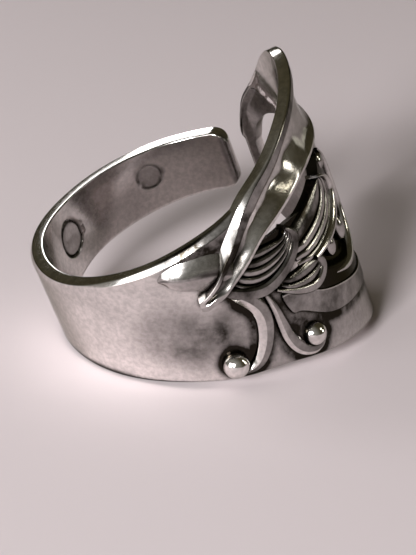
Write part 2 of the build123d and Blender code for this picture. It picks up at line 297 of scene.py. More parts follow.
def makeWearShadeGroup(look):
    group = bpy.data.node_groups.new("wornShadedSilver", "ShaderNodeTree")
    for name, kind, value in (("Silver", "NodeSocketColor", look["silver"]),
                              ("TarnishShade", "NodeSocketColor", look["tarnishShadeColour"]),
                              ("Darkening", "NodeSocketFloat", 1.0),
                              ("Roughness", "NodeSocketFloat", 0.16),
                              ("Scratches", "NodeSocketFloat", 0.04)):
        socket = group.interface.new_socket(name=name, in_out="INPUT", socket_type=kind)
        socket.default_value = value
    group.interface.new_socket(name="Color", in_out="OUTPUT", socket_type="NodeSocketColor")
    group.interface.new_socket(name="Roughness", in_out="OUTPUT", socket_type="NodeSocketFloat")
    group.interface.new_socket(name="Normal", in_out="OUTPUT", socket_type="NodeSocketVector")
    nodes, links = group.nodes, group.links
    inputs = nodes.new("NodeGroupInput")
    outputs = nodes.new("NodeGroupOutput")
    place = nodes.new("ShaderNodeTexCoord").outputs["Object"]
    clouds = makeNoise(nodes, links, place, *look["clouds"])
    grain = makeNoise(nodes, links, place, *look["grain"])

    # Creases and broad hollows keep the dark tarnish, broken up by the clouds.
    reaches = []
    for reach, alone in ((look["creaseReach"], False), (look["hollowReach"], True)):
        hollow = makeNode(nodes, "ShaderNodeAmbientOcclusion",
                          samples=look["hollowSamples"], only_local=alone)
        hollow.inputs["Distance"].default_value = reach
        clouded = makeMath(nodes, links, "MULTIPLY_ADD", clouds, look["cloudShare"], hollow.outputs["AO"])
        reaches.append(clouded)
    crease = makeRange(nodes, links, reaches[0], *look["creaseRange"])
    broad = makeRange(nodes, links, reaches[1], *look["hollowRange"])
    deepest = makeMath(nodes, links, "MAXIMUM", crease, broad)
    # Each point's own darkening adds tarnish and painted shade: darker patches that stand in for shadow and
    # dark reflections.
    tarnishShade = makeNode(nodes, "ShaderNodeAttribute", attribute_name="tarnishShade")
    patchy = makeRange(nodes, links, clouds, *look["tarnishShadeRange"])
    tarnishedShaded = makeMath(nodes, links, "MULTIPLY", tarnishShade.outputs["Fac"], patchy)
    darkened = makeMath(nodes, links, "MULTIPLY_ADD", deepest, inputs.outputs["Darkening"], tarnishedShaded)
    amount = makeMath(nodes, links, "MINIMUM", darkened, look["mostTarnishShade"])

    # Clean silver varies a little in tone, and turns to the dark colour of tarnish and painted shade by the
    # amount.
    tone = makeRange(nodes, links, clouds, *look["toneRange"])
    speck = makeRange(nodes, links, grain, *look["speckRange"])
    brightness = makeMath(nodes, links, "MULTIPLY", tone, speck)
    silver = makeNode(nodes, "ShaderNodeMix", data_type="RGBA", blend_type="MULTIPLY")
    silver.inputs["Factor"].default_value = 1
    links.new(inputs.outputs["Silver"], silver.inputs["A"])
    links.new(brightness, silver.inputs["B"])
    colour = makeNode(nodes, "ShaderNodeMix", data_type="RGBA")
    links.new(amount, colour.inputs["Factor"])
    links.new(silver.outputs["Result"], colour.inputs["A"])
    links.new(inputs.outputs["TarnishShade"], colour.inputs["B"])
    links.new(colour.outputs["Result"], outputs.inputs["Color"])

    duller = makeMath(nodes, links, "MULTIPLY_ADD", amount, look["tarnishShadeDulls"], inputs.outputs["Roughness"])
    dullest = makeMath(nodes, links, "MULTIPLY_ADD", grain, look["grainDulls"], duller)
    links.new(dullest, outputs.inputs["Roughness"])

    stretch = nodes.new("ShaderNodeMapping")
    stretch.inputs["Rotation"].default_value = look["scratchTurn"]
    stretch.inputs["Scale"].default_value = look["scratchStretch"]
    links.new(place, stretch.inputs["Vector"])
    scratches = makeNoise(nodes, links, stretch.outputs["Vector"], *look["scratches"])
    both = makeMath(nodes, links, "MULTIPLY_ADD", scratches, look["scratchShare"], clouds)
    bump = nodes.new("ShaderNodeBump")
    bump.inputs["Distance"].default_value = look["scratchDepth"]
    links.new(inputs.outputs["Scratches"], bump.inputs["Strength"])
    links.new(both, bump.inputs["Height"])
    links.new(bump.outputs["Normal"], outputs.inputs["Normal"])
    return group


wearShadeGroup = makeWearShadeGroup(surfaceLook)


def silverMaterial(name, grazing, **values):
    material = bpy.data.materials.new(name)
    material.use_nodes = True
    nodes, links = material.node_tree.nodes, material.node_tree.links
    shader = nodes["Principled BSDF"]
    shader.inputs["Metallic"].default_value = 1.0
    tint = (grazing, grazing, grazing * surfaceLook["grazingBlue"], 1)
    shader.inputs["Specular Tint"].default_value = tint
    wearShade = nodes.new("ShaderNodeGroup")
    wearShade.node_tree = wearShadeGroup
    for socket, value in values.items():
        wearShade.inputs[socket].default_value = value
    links.new(wearShade.outputs["Color"], shader.inputs["Base Color"])
    links.new(wearShade.outputs["Roughness"], shader.inputs["Roughness"])
    links.new(wearShade.outputs["Normal"], shader.inputs["Normal"])
    return material


polishedSilver = silverMaterial("polishedSilver", 0.5, Darkening=1.0, Roughness=0.10, Scratches=0.10)
carvedSilver = silverMaterial("carvedSilver", 0.6, Darkening=0.85, Roughness=0.13, Scratches=0.6)
print("stage: materials made")

# The handle bent round into the hoop.
handleSizes = {
    # angle, swelling of the upper and of the lower edge, change of wall, bed's start, bed's depth
    "outline": [
        (69, 0.00, 0.00, 0.0, 0.50, 0.0), (90, 0.00, 0.00, 0.0, 0.50, 0.0),
        (120, 0.02, 0.02, 0.0, 0.50, 0.0), (150, 0.04, 0.04, 0.0, 0.50, 0.0),
        (180, 0.09, 0.09, 0.0, 0.50, 0.0), (205, 0.11, 0.10, 0.0, 0.50, 0.0),
        (225, 0.14, 0.14, 0.0, 0.50, 0.0), (245, 0.20, 0.20, 0.0, 0.50, 0.0),
        (265, 0.275, 0.275, 0.1, 0.52, 0.0), (285, 0.37, 0.37, 0.3, 0.58, 0.0),
        (300, 0.45, 0.43, 0.6, 0.64, 0.1), (308, 0.515, 0.49, 0.8, 0.66, 0.4),
        (316, 0.60, 0.56, 0.9, 0.66, 0.8), (328, 0.735, 0.66, 1.0, 0.64, 1.0),
        (340, 0.825, 0.75, 1.0, 0.60, 1.0), (352, 0.905, 0.85, 1.0, 0.55, 1.0),
        (364, 0.965, 0.93, 1.0, 0.53, 1.0), (376, 0.98, 0.98, 1.0, 0.53, 1.0),
        (384, 0.935, 0.93, 1.0, 0.55, 1.0), (393, 0.80, 0.80, 1.0, 0.62, 1.0),
        (402, 0.60, 0.60, 1.0, 0.72, 0.8), (410, 0.43, 0.41, 1.0, 0.80, 0.3),
        (415, 0.30, 0.29, 1.0, 0.80, 0.0), (420, 0.05, 0.05, 1.0, 0.80, 0.0)],
    # angle, upper and lower edge of the gap as shares of the ornamented end's half height
    "gap": [
        (69, 0.02, -0.02), (150, 0.03, -0.02), (240, 0.06, 0.02), (285, 0.22, 0.18), (300, 0.290, 0.262),
        (305, 0.316, 0.278), (312, 0.366, 0.274), (318, 0.398, 0.273), (326, 0.436, 0.262),
        (334, 0.464, 0.254), (342, 0.476, 0.262), (350, 0.478, 0.284), (356, 0.466, 0.350),
        (366, 0.44, 0.39), (384, 0.41, 0.33), (396, 0.41, 0.26), (402, 0.385, 0.06), (408, 0.325, -0.10),
        (412, 0.24, -0.13), (415, 0.12, -0.04), (420, 0.05, 0.00)],
    "openings": [(305, 356), (396, 415)],
    "slitSlope": 0.45,
    "cavity": [
        (-36, -0.085, -0.13), (-26, -0.06, -0.24), (-16, -0.04, -0.325), (-6, 0.04, -0.36), (5, 0.16, -0.26)],
    # the sunken ground's depth, and how far its sides (millimetres) and ends (degrees) slope
    "cavityDepth": 0.42,
    "cavitySides": 0.55,
    "cavityEnds": 3,
    "bedDepth": 0.42,
    # rounding of the long edges, and the share of the wall that it may take
    "edge": 0.20,
    "topEdge": 0.12,
    "edgeShare": 0.45,
    # at the tip the lower edges' rounding shrinks: by this share, from this angle, over so many degrees
    "tipEdgeCut": 0.6,
    "tipEdgeStart": (393, 10),
    # angle and breadth of the bevel on the upper outer edge
    "outerEase": [
        (69, 0.06), (100, 0.08), (140, 0.16), (200, 0.16), (235, 0.18), (255, 0.25), (268, 0.32),
        (306, 0.32)],
    "easeSteepness": 1.3,
    "easeRound": 0.35,
    "leastEase": 0.04,
    # the upper face tips outwards: from, to, fade in degrees and drop in millimetres
    "topTip": (95, 262, 26, 0.14),
    "tipDropShare": 0.7,
    "topClearance": 0.02,
    # what the slit's inward slope leaves open at least
    "leastSlit": 0.1,
    # corner radius and edge rounding of the cut end and of the tip
    "cutCorner": 1.1,
    "cutEase": 0.42,
    "tipCorner": 0.4,
    "tipEase": 0.2,
    # painted shade and tarnish beside what is laid on the wall, as if cast by the raised parts: strength,
    # start and reach in millimetres
    "besideTarnishShade": 0.74,
    "besideStart": 0.05,
    "besideReach": 0.75,
    # where a darkened patch begins to fade and over how much, as shares of its spread
    "patchFade": (0.4, 0.8),
    # angle, height share, spread of both and strength; the outer patches are tarnish and painted shade,
    # standing in for the darker reflections of shaded surroundings; slit grounds lie on both faces of the
    # wall
    "outerTarnishShades": [
        (-95, -0.07, 19, 0.27, 0.50), (-86, -0.22, 13, 0.25, 0.30), (-73, -0.20, 10, 0.36, 0.52),
        (-80, 0.46, 16, 0.17, 0.80), (-72, 0.53, 14, 0.14, 1.00),
        (-50, -0.32, 13, 0.24, 0.45), (-20, -0.45, 40, 0.45, 0.40), (-58, -0.55, 22, 0.22, 0.40)],
    "blackGrounds": [
        (-24, -0.14, 18, 0.18, 1.90), (-12, -0.24, 22, 0.20, 1.90), (-1, 0.02, 12, 0.38, 1.90),
        (-13, -0.38, 18, 0.10, 1.90)],
    # the slit grounds are tarnish and painted shade, darkening the slit's walls and the ground beside it
    "slitGrounds": [(-46, 0.285, 14, 0.060, 1.90), (-22, 0.35, 22, 0.10, 1.90), (-34, 0.30, 26, 0.05, 1.90)],
    # inner patches of tarnish and painted shade: the inner wall darker along its upper edge, and darker at
    # the cut end
    "innerTarnishShades": [
        (118, 0.22, 44, 0.09, 0.36), (86, 0.16, 16, 0.12, 0.16), (70, 0.0, 2.4, 0.35, 0.80)],
    # angle, height in millimetres, radius and depth of the plain punches
    "punches": [(156.5, 0.13, 1.3, 0.10), (107.5, 0.4, 0.95, 0.03)],
    # a punch's sunken line, floor and raised middle: the line's place and the middle's size are shares
    # of the radius, its width and the floor's fade are millimetres, and the rest are shares of the depth
    "punchShape": {"lineAt": 0.93, "lineWidth": 0.085, "floorFade": 0.16, "floorShare": 0.55,
                   "domeSize": 0.34, "domeShare": 0.45},
    # stain of a punch's line and floor; the line's place and width, and the floor's edge and fade,
    # all four as shares of the radius
    "punchStains": (0.85, 0.34),
    "punchLine": (0.90, 0.13),
    "punchFloor": (0.85, 0.2),
    # the line of the inner crease at the tip: angle and height; where it starts and ends, its ridge,
    # and the step below it, which fades out towards the lower edge
    "innerCrease": [(18, 3.3), (32, 4.97), (41, 6.0), (48, 6.6), (58, 7.0)],
    "creaseStart": (378, 6),
    "creaseEnd": (418, 4),
    "creaseRidge": 0.16,
    "creaseWidth": 0.20,
    "creaseStep": 0.08,
    "creaseStepFade": 0.2,
    "creaseStepFoot": (0.6, 1.5),
    # painted shade and tarnish below that crease, on the tip's inner face: how far below it starts, its fade,
    # and where it starts and ends round the hoop
    "creaseTarnishShade": 0.58,
    "creaseTarnishShadeDrop": 0.22,
    "creaseTarnishShadeFade": 0.25,
    "creaseTarnishShadeStart": (18, 6),
    "creaseTarnishShadeEnd": (59.3, 1.2),
    # the rolled inner edge at the tip: its height, where it starts, its distance below the edge and width
    "edgeRoll": 0.20,
    "edgeRollStart": (398, 6),
    "edgeRollAt": (0.45, 0.28),
    "lowPoints": 64,
    "highPoints": 30,
    # degrees between sections: on the plain shank, on the carved part from this angle on, and near a punch
    "plainStep": 2.2,
    "carvedStep": 1.0,
    "carvedFrom": 250,
    "punchStep": 0.45,
    "punchMargin": 1.5,
    "leastGap": 0.3,
}


def handleAngles(sizes):
    first, last = sizes["outline"][0][0], sizes["outline"][-1][0]
    gap = sizes["leastGap"]
    corner = math.degrees(sizes["cutCorner"] / ringSizes["outerRadius"])
    finest = [first + corner * (1 - math.cos(turn)) for turn in np.linspace(0, math.pi / 2, 12)]
    angle = finest[-1]
    while angle < last - 3:
        near = any(abs(angle - place) < math.degrees(size / ringSizes["innerRadius"]) + sizes["punchMargin"]
                   for place, height, size, depth in sizes["punches"])
        plain = sizes["plainStep"] if angle < sizes["carvedFrom"] else sizes["carvedStep"]
        angle += sizes["punchStep"] if near else plain
        finest.append(angle)
    corner = math.degrees(sizes["tipCorner"] / ringSizes["outerRadius"])
    finest = [a for a in finest if a < last - corner - gap]
    finest.extend(last - corner * (1 - math.sin(turn)) for turn in np.linspace(0, math.pi / 2, 7))
    for start, end in sizes["openings"]:
        finest = [a for a in finest if min(abs(a - start), abs(a - end)) > gap]
        finest.extend([start, end])
    return np.array(sorted(finest))


# The handle's darkening at each point: tarnish in the black grounds and punches, and tarnish with painted
# shade in the other patches, below the inner crease and beside what is laid on the wall.
def tarnishShadeAmounts(points, sizes, trails):
    radii = np.hypot(points[:, 0], points[:, 1])
    angles = np.degrees(np.arctan2(points[:, 1], points[:, 0]))
    heights = points[:, 2] / ringSizes["endHalf"]
    middle = (ringSizes["innerRadius"] + ringSizes["outerRadius"]) / 2
    outside, inside = radii > middle, radii < middle
    amounts, grounds = np.zeros(len(points)), np.zeros(len(points))
    for total, name, onSide in ((amounts, "outerTarnishShades", outside), (amounts, "innerTarnishShades", inside),
                                (grounds, "blackGrounds", outside), (grounds, "slitGrounds", True)):
        for angle, height, wide, tall, strength in sizes[name]:
            away = np.hypot((angles - angle) / wide, (heights - height) / tall)
            total += onSide * strength * (1 - risePast(away, *sizes["patchFade"]))
    lineStain, floorStain = sizes["punchStains"]
    lineAt, lineWidth = sizes["punchLine"]
    for angle, height, size, depth in sizes["punches"]:
        away = np.hypot(np.radians(angles - angle) * radii, points[:, 2] - height) / size
        lined = lineStain * np.exp(-((away - lineAt) / lineWidth) ** 2)
        amounts += inside * (lined + floorStain * fallTo(away, *sizes["punchFloor"]))
    crease = np.interp(angles, *zip(*sizes["innerCrease"]))
    # painted shade and tarnish below the inner crease at the tip
    below = fallTo(points[:, 2], crease - sizes["creaseTarnishShadeDrop"], sizes["creaseTarnishShadeFade"])
    amounts += (inside * sizes["creaseTarnishShade"] * below
                * risePast(angles, *sizes["creaseTarnishShadeStart"]) * fallTo(angles, *sizes["creaseTarnishShadeEnd"]))
    # darkening beside the laid parts: painted shade, as if cast by them, with tarnish
    around = np.radians(angles) * ringSizes["outerRadius"]
    beside = np.full(len(points), np.inf)
    for along, height, half in trails:
        beside = np.minimum(beside, np.hypot(around - along, points[:, 2] - height) - half)
    faded = risePast(beside, sizes["besideStart"], sizes["besideReach"])
    amounts += outside * sizes["besideTarnishShade"] * (1 - faded)
    return np.maximum(np.minimum(amounts, 1.0), np.minimum(grounds, blackStain))


def inOpening(sizes, angle, until):
    # whether the hoop is pierced from this angle to that
    return any(start - 0.01 <= angle and until <= end + 0.01 for start, end in sizes["openings"])


def punchRelief(shape, away, size):
    # how far a punch goes in at this distance from its middle, as a share of its depth
    line = np.exp(-((away - size * shape["lineAt"]) / shape["lineWidth"]) ** 2)
    floor = fallTo(away, size, shape["floorFade"]) * shape["floorShare"]
    dome = np.exp(-(away / (size * shape["domeSize"])) ** 2) * shape["domeShare"]
    return line + floor - dome


def buildHandle(sizes, material, trails):
    angles = handleAngles(sizes)
    outline = followAngle(sizes["outline"], angles)
    gaps = followAngle(sizes["gap"], angles) * ringSizes["endHalf"]
    cavityStart, cavityEnd = sizes["cavity"][0][0], sizes["cavity"][-1][0]
    cavity = followAngle(sizes["cavity"], np.clip(angles - 360, cavityStart, cavityEnd))
    cavity = cavity * ringSizes["endHalf"]
    slitStart, slitEnd = sizes["openings"][0]
    lowCount, highCount = sizes["lowPoints"], sizes["highPoints"]
    bottomCount, topCount = 8, 18                              # points on the eased edges
    perDegree = 0.157                                          # millimetres along the inside in one degree
    swelling = ringSizes["endHalf"] - ringSizes["shankHalf"]
    points = []
    for i, angle in enumerate(angles):
        upper, lower, change, bedStart, bed = outline[i]
        change = min(max(change, 0), 1)
        bed = min(max(bed, 0), 1)
        high = ringSizes["shankHalf"] + swelling * upper
        low = -ringSizes["shankHalf"] - swelling * lower
        inside = ringSizes["innerRadius"] + (ringSizes["endInnerRadius"] - ringSizes["innerRadius"]) * change
        outside = ringSizes["outerRadius"]
        flared = outside + ringSizes["flare"] * change
        bedded = outside - sizes["bedDepth"] * bed
        fromCut = np.radians(angle - angles[0]) * outside
        fromTip = np.radians(angles[-1] - angle) * outside
        inset, thin = 0.0, 0.0
        for gone, corner, ease in ((fromCut, sizes["cutCorner"], sizes["cutEase"]),
                                   (fromTip, sizes["tipCorner"], sizes["tipEase"])):
            if gone < corner:
                inset = corner * (1 - math.sqrt(max(1 - (1 - gone / corner) ** 2, 0)))
            if gone < ease:
                thin = ease * (1 - math.sqrt(max(1 - (1 - gone / ease) ** 2, 0)))
        high, low = high - inset, low + inset
        inside, outside, flared, bedded = inside + thin, outside - thin, flared - thin, bedded - thin
        slitHigh, slitLow = gaps[i]
        edge = min(sizes["edge"], (flared - inside) * sizes["edgeShare"])

        def outerAt(heights):
            start = high * bedStart
            return np.interp(heights, [low, start, start + sizes["bedDepth"], high + 1],
                             [flared, outside, bedded, bedded])

        topEdge = min(sizes["topEdge"], edge)
        outerEase = max(np.interp(angle, *zip(*sizes["outerEase"])) * (1 - bed), sizes["leastEase"])
        bevelled = outerEase * sizes["easeSteepness"]
        bevelRound = outerEase * sizes["easeRound"]
        start, end, fade, drop = sizes["topTip"]
        drop *= risePast(angle, start, fade) * fallTo(angle, end, fade)
        lowHeights = np.linspace(low + edge, slitLow, lowCount)
        faceTop = high - bevelled - bevelRound - drop - sizes["topClearance"]
        highHeights = np.linspace(slitHigh, faceTop, highCount)
        outerLow = outerAt(lowHeights)
        if cavityStart < angle - 360 < cavityEnd:
            cavityHigh, cavityLow = cavity[i]
            fromSides = np.minimum(lowHeights - cavityLow, cavityHigh - lowHeights) / sizes["cavitySides"]
            fromEnds = min(angle - 360 - cavityStart, cavityEnd - (angle - 360)) / sizes["cavityEnds"]
            outerLow = outerLow - sizes["cavityDepth"] * smoothStep(fromSides) * smoothStep(fromEnds)
        outerLowHeights = lowHeights.copy()
        if slitStart - 0.01 <= angle <= slitEnd + 0.01:        # the slit's floor drops inwards
            rise = min(sizes["slitSlope"] * (outside - inside), slitHigh - slitLow - sizes["leastSlit"])
            outerLowHeights = np.linspace(low + edge, slitLow + max(rise, 0), lowCount)
        outerHigh = outerAt(highHeights)
        innerHigh = np.full(highCount, inside)
        innerLow = np.full(lowCount, inside)
        for place, height, size, depth in sizes["punches"]:
            if abs(angle - place) * perDegree < size + 0.3:
                for heights, radii in ((highHeights, innerHigh), (lowHeights, innerLow)):
                    away = np.hypot(np.radians(angle - place) * inside, heights - height)
                    radii += depth * punchRelief(sizes["punchShape"], away, size)
        if angle > sizes["creaseStart"][0]:
            faceHeights = np.linspace(slitHigh, high - topEdge, highCount)
            crease = np.interp(angle - 360, *zip(*sizes["innerCrease"]))
            within = risePast(angle, *sizes["creaseStart"]) * fallTo(angle, *sizes["creaseEnd"])
            for heights, seen, radii in ((highHeights, faceHeights, innerHigh),
                                         (lowHeights, lowHeights, innerLow)):
                above = seen - crease
                radii -= within * sizes["creaseRidge"] * np.exp(-(above / sizes["creaseWidth"]) ** 2)
                radii += (within * sizes["creaseStep"] * fallTo(above, 0, sizes["creaseStepFade"])
                          * risePast(heights - low, *sizes["creaseStepFoot"]))
            rollAt, rollWidth = sizes["edgeRollAt"]
            rolled = np.exp(-((high - faceHeights - rollAt) / rollWidth) ** 2)
            innerHigh -= sizes["edgeRoll"] * risePast(angle, *sizes["edgeRollStart"]) * rolled
        lowerEdge = edge * (1 - sizes["tipEdgeCut"] * risePast(angle, *sizes["tipEdgeStart"]))
        bottom = roundCorners([(inside, low + 2), (inside, low), (flared, low), (flared, low + 2)],
                              [0, lowerEdge, lowerEdge, 0])[1:bottomCount + 1]
        outerTop = bedded if bed > 0.02 else outside
        top = roundCorners([(outerTop, high - 2), (outerTop, high - drop - bevelled),
                            (outerTop - outerEase, high - drop * sizes["tipDropShare"]),
                            (inside, high), (inside, high - 2)],
                           [0, bevelRound, bevelRound, topEdge, 0], steps=5)[1:topCount + 1]
        innerHighs = np.linspace(high - topEdge, slitHigh, highCount)
        ring = np.concatenate([bottom,
                               np.stack([outerLow, outerLowHeights], 1),
                               np.stack([outerHigh, highHeights], 1),
                               top,
                               np.stack([innerHigh[::-1], innerHighs], 1),
                               np.stack([innerLow[::-1], lowHeights[::-1]], 1)])
        points.append(onHoop(angle, ring[:, 0], ring[:, 1]))

    # Faces between the sections; where the wall is pierced, they turn in along the opening's two sides.
    size = len(points[0])
    outerGap = bottomCount + lowCount - 1
    innerGap = bottomCount + lowCount + highCount + topCount + highCount - 1
    corners = (outerGap, outerGap + 1, innerGap, innerGap + 1)
    faces = []
    opened = [inOpening(sizes, a, b) for a, b in zip(angles[:-1], angles[1:])]
    for i, isOpen in enumerate(opened):
        for j in range(size):
            if isOpen and j in (outerGap, innerGap):
                continue
            k = (j + 1) % size
            faces.append((i * size + j, i * size + k, (i + 1) * size + k, (i + 1) * size + j))
        if isOpen:
            for a, b in ((corners[3], corners[0]), (corners[1], corners[2])):
                faces.append((i * size + a, i * size + b, (i + 1) * size + b, (i + 1) * size + a))
        before = opened[i - 1] if i else False
        if isOpen and not before:
            faces.append(tuple(i * size + c for c in corners))
        if before and not isOpen:
            faces.append(tuple(i * size + c for c in reversed(corners)))
    faces.append(tuple(range(size)))
    faces.append(tuple(range((len(points) - 1) * size, len(points) * size)))
    points = np.concatenate(points)
    return newPiece("handle", points, faces, material, crease=35, tarnishShades=tarnishShadeAmounts(points, sizes, trails))


# The long hollow leaf along the upper edge.
leafSizes = {
    # angle, foot and crest of the upper side, lower edge, rims' breadth, rise of the two rims
    "rows": [
        (-82.2, 0.158, 0.146, 0.088, 0.24, 0.86, 0.86), (-81.0, 0.172, 0.160, 0.086, 0.34, 0.98, 0.98),
        (-77.5, 0.214, 0.198, 0.104, 0.45, 1.03, 1.03),
        (-73.5, 0.275, 0.258, 0.124, 0.62, 0.95, 0.95), (-70.0, 0.375, 0.325, 0.160, 0.75, 0.85, 0.85),
        (-65.0, 0.480, 0.405, 0.214, 0.90, 0.70, 0.75), (-60.0, 0.565, 0.515, 0.267, 1.30, 0.55, 0.62),
        (-55.0, 0.630, 0.595, 0.325, 1.45, 0.40, 0.52), (-50.0, 0.672, 0.655, 0.364, 1.45, 0.28, 0.45),
        (-45.0, 0.705, 0.692, 0.393, 1.25, 0.20, 0.42), (-38.0, 0.752, 0.742, 0.427, 1.15, 0.16, 0.40),
        (-28.0, 0.822, 0.812, 0.470, 1.00, 0.14, 0.40), (-16.0, 0.890, 0.878, 0.488, 0.95, 0.14, 0.40),
        (-4.0, 0.950, 0.938, 0.488, 0.95, 0.14, 0.42), (8.0, 0.985, 0.973, 0.476, 0.95, 0.14, 0.42),
        (17.0, 0.985, 0.973, 0.476, 0.95, 0.14, 0.40), (25.0, 0.940, 0.928, 0.485, 0.95, 0.14, 0.36),
        (33.0, 0.845, 0.833, 0.490, 0.90, 0.14, 0.30), (41.0, 0.708, 0.696, 0.495, 0.80, 0.14, 0.22),
        (47.0, 0.598, 0.586, 0.500, 0.35, 0.14, 0.16)],
    "rim": 0.56,
    "lowerRim": 0.24,
    # the lower rim broadens towards the low end: by this much, up to this angle, over so many degrees
    "endRim": 0.24,
    "endRimFade": (-71, 5),
    "hollow": 0.46,
    "hollowPower": 0.8,
    "hollowStart": (-81.5, 3),
    # the trough is deepest near the rim at first, and near the lower rim from this angle on
    "skew": (1.5, 0.75, -20, 9),
    "troughPoints": 14,
    # beaten wave of the trough: height, waves along and across; and a slower one's share, waves and shift
    "wave": (0.035, 2.6, 5),
    "slowWave": (0.6, 1.1, 2),
    # the root stops this far outside the wall's inner face, and this much further from this angle on
    "rootInset": 0.02,
    "rootDeeper": 0.16,
    "rootStart": (8, 8),
    "footInset": 0.02,
    "lip": 0.14,
    "rimRounds": (0.08, 0.07),
    "backRounds": (0.05, 0.06),
    "roundSteps": 4,
    # tarnish and painted shade of each part of the profile: underside, painted black where it faces down into
    # shade, lower rim, trough, rim, upper face
    "tarnishShades": (1.60, 0.05, 0.18, 0.72, 0.0),
    # tarnish and painted shade that the rim, trough and lower rim have besides at the low end, darkening the
    # trough's reflection there: strength, up to this angle, fade
    "lowRimTarnishShade": (0.10, -30, 18),
    "lowTroughTarnishShade": (0.50, -56, 8),
    "endTarnishShade": (0.35, -62, 8),
    # at the very end the trough's darkening starts, and the rim's rises from this share of itself
    "troughTarnishShadeStart": (-81, 2),
    "rimTarnishShadeStart": (-77, 6),
    "rimTarnishShadeLeast": 0.25,
    "footRise": 0.75,
    "step": 0.8,
}


def buildLeaf(sizes, material):
    first, last = sizes["rows"][0][0], sizes["rows"][-1][0]
    angles = np.arange(first, last + 0.01, sizes["step"])
    outer, half = ringSizes["outerRadius"], ringSizes["endHalf"]
    skewFirst, skewLast, *skewStart = sizes["skew"]
    waveHeight, waveAlong, waveAcross = sizes["wave"]
    slowShare, slowAlong, slowShift = sizes["slowWave"]
    underTarnishShade, lowTarnishShade, troughTarnishShade, rimTarnishShade, topTarnishShade = sizes["tarnishShades"]
    lowRimTarnishShade, *lowRimFade = sizes["lowRimTarnishShade"]
    lowTroughTarnishShade, *lowTroughFade = sizes["lowTroughTarnishShade"]
    endTarnishShade, *endFade = sizes["endTarnishShade"]
    share = np.linspace(0, 1, sizes["troughPoints"])[1:-1]
    eased = 2 * (sizes["roundSteps"] + 1)                      # points on a rim's two corners
    table = followAngle(sizes["rows"], angles)
    rings, tarnishShades = [], []
    for angle, (foot, crest, lower, breadth, upperRise, lowerRise) in zip(angles, table):
        around = np.radians(angle) * outer
        full = min(breadth, 1)
        upperTop = outer + sizes["footRise"] * upperRise
        lowerTop = outer + sizes["footRise"] * lowerRise
        low, high, footHigh = half * lower, half * crest, half * foot
        innerLow = low + sizes["lowerRim"] * full + sizes["endRim"] * fallTo(angle, *sizes["endRimFade"])
        innerHigh = high - sizes["rim"] * breadth
        hollow = sizes["hollow"] * full * risePast(angle, *sizes["hollowStart"])
        root = (ringSizes["endInnerRadius"] + sizes["rootInset"]
                + sizes["rootDeeper"] * risePast(angle, *sizes["rootStart"]))
        sunk = share ** (skewFirst + (skewLast - skewFirst) * risePast(angle, *skewStart))
        sunk = hollow * (4 * sunk * (1 - sunk)) ** sizes["hollowPower"]
        trough = np.stack([lowerTop + (upperTop - lowerTop) * share - sunk,
                           innerLow + (innerHigh - innerLow) * share], 1)
        wave = waveHeight * full * np.sin(around * waveAlong + waveAcross * share) * np.sin(np.pi * share)
        trough[:, 0] += wave + slowShare * wave * np.sin(around * slowAlong + slowShift)
        corners = [(root, low), (lowerTop - sizes["lip"], low), (lowerTop, low), (lowerTop, innerLow),
                   *trough, (upperTop, innerHigh), (upperTop, high),
                   (outer - sizes["footInset"], footHigh), (root, footHigh)]
        radii = [0, 0, *sizes["rimRounds"], *[0] * len(trough), *sizes["rimRounds"], *sizes["backRounds"]]
        ring = roundCorners(corners, radii, steps=sizes["roundSteps"])
        rings.append(onHoop(angle, ring[:, 0], ring[:, 1]))
        # the rim, trough and lower rim darken by tarnish and painted shade
        least = sizes["rimTarnishShadeLeast"]
        rimNow = rimTarnishShade + lowRimTarnishShade * fallTo(angle, *lowRimFade)
        rimNow *= least + (1 - least) * risePast(angle, *sizes["rimTarnishShadeStart"])
        troughNow = troughTarnishShade + (lowTroughTarnishShade * fallTo(angle, *lowTroughFade)
                                   * risePast(angle, *sizes["troughTarnishShadeStart"]))
        lowNow = lowTarnishShade + endTarnishShade * fallTo(angle, *endFade)
        tarnishShades += ([underTarnishShade] * 2 + [lowNow] * eased + [troughNow] * len(trough)
                   + [rimNow] * eased + [topTarnishShade] * eased)
    return skinRings("leaf", rings, material, crease=50, tarnishShades=tarnishShades)


leaf = buildLeaf(leafSizes, polishedSilver)
print("stage: leaf", len(leaf.data.polygons), "faces")

# Ridged lobes: ridges run from a lobe's left side and gather at its tip.
lobeSizes = {
    "rise": 0.42,
    "groove": 0.23,
    "archPower": 0.42,
    "ridgeSteps": 12,
    "crownDrop": 0.25,
    # a lobe's left end rises from this share of its height, over this share of its length
    "endShare": 0.5,
    "endLength": 0.12,
    "valleyStain": 1.1,
    "valleyPower": 1.3,
    # darker towards a lobe's upper side: from this share of its breadth, over this share
    "highDarkeningStart": (0.56, 0.10),
    "steps": 46,
    "lobes": {
        # each lobe's own darkening is tarnish and painted shade
        "lobeFront": {
            "bounds": (0, 0.18, 0.38, 0.58, 0.79, 1), "tarnishShade": 0.48, "highDarkening": 0.3,
            "low": [
                (-70.5, 0.150), (-66, 0.070), (-59, 0.030), (-52.5, 0.045), (-46.5, 0.095), (-42.8, 0.170),
                (-41.6, 0.240), (-43.2, 0.290)],
            "high": [(-60.0, 0.300), (-54, 0.288), (-48.5, 0.268), (-45.0, 0.270), (-43.6, 0.293)]},
        "lobeSide": {
            "bounds": (0, 0.20, 0.40, 0.62, 1), "tarnishShade": 0.42, "highDarkening": 0.38,
            "low": [(-42, -0.025), (-34, -0.045), (-25, -0.040), (-17, -0.010), (-11, 0.050), (-8, 0.130),
                    (-8.5, 0.240), (-12, 0.310), (-16.5, 0.345)],
            "high": [(-44.0, 0.225), (-38, 0.268), (-30, 0.300), (-22, 0.328), (-17.5, 0.347)]},
        "lobeLow": {
            "bounds": (0, 0.45, 1), "tarnishShade": 0.72, "highDarkening": 0.1,
            "low": [(-53, -0.050), (-49, -0.110), (-43, -0.155), (-37, -0.165), (-33, -0.130), (-33, -0.075)],
            "high": [(-50, 0.010), (-44, 0.000), (-37, -0.010), (-33.8, -0.045)]},
    },
}


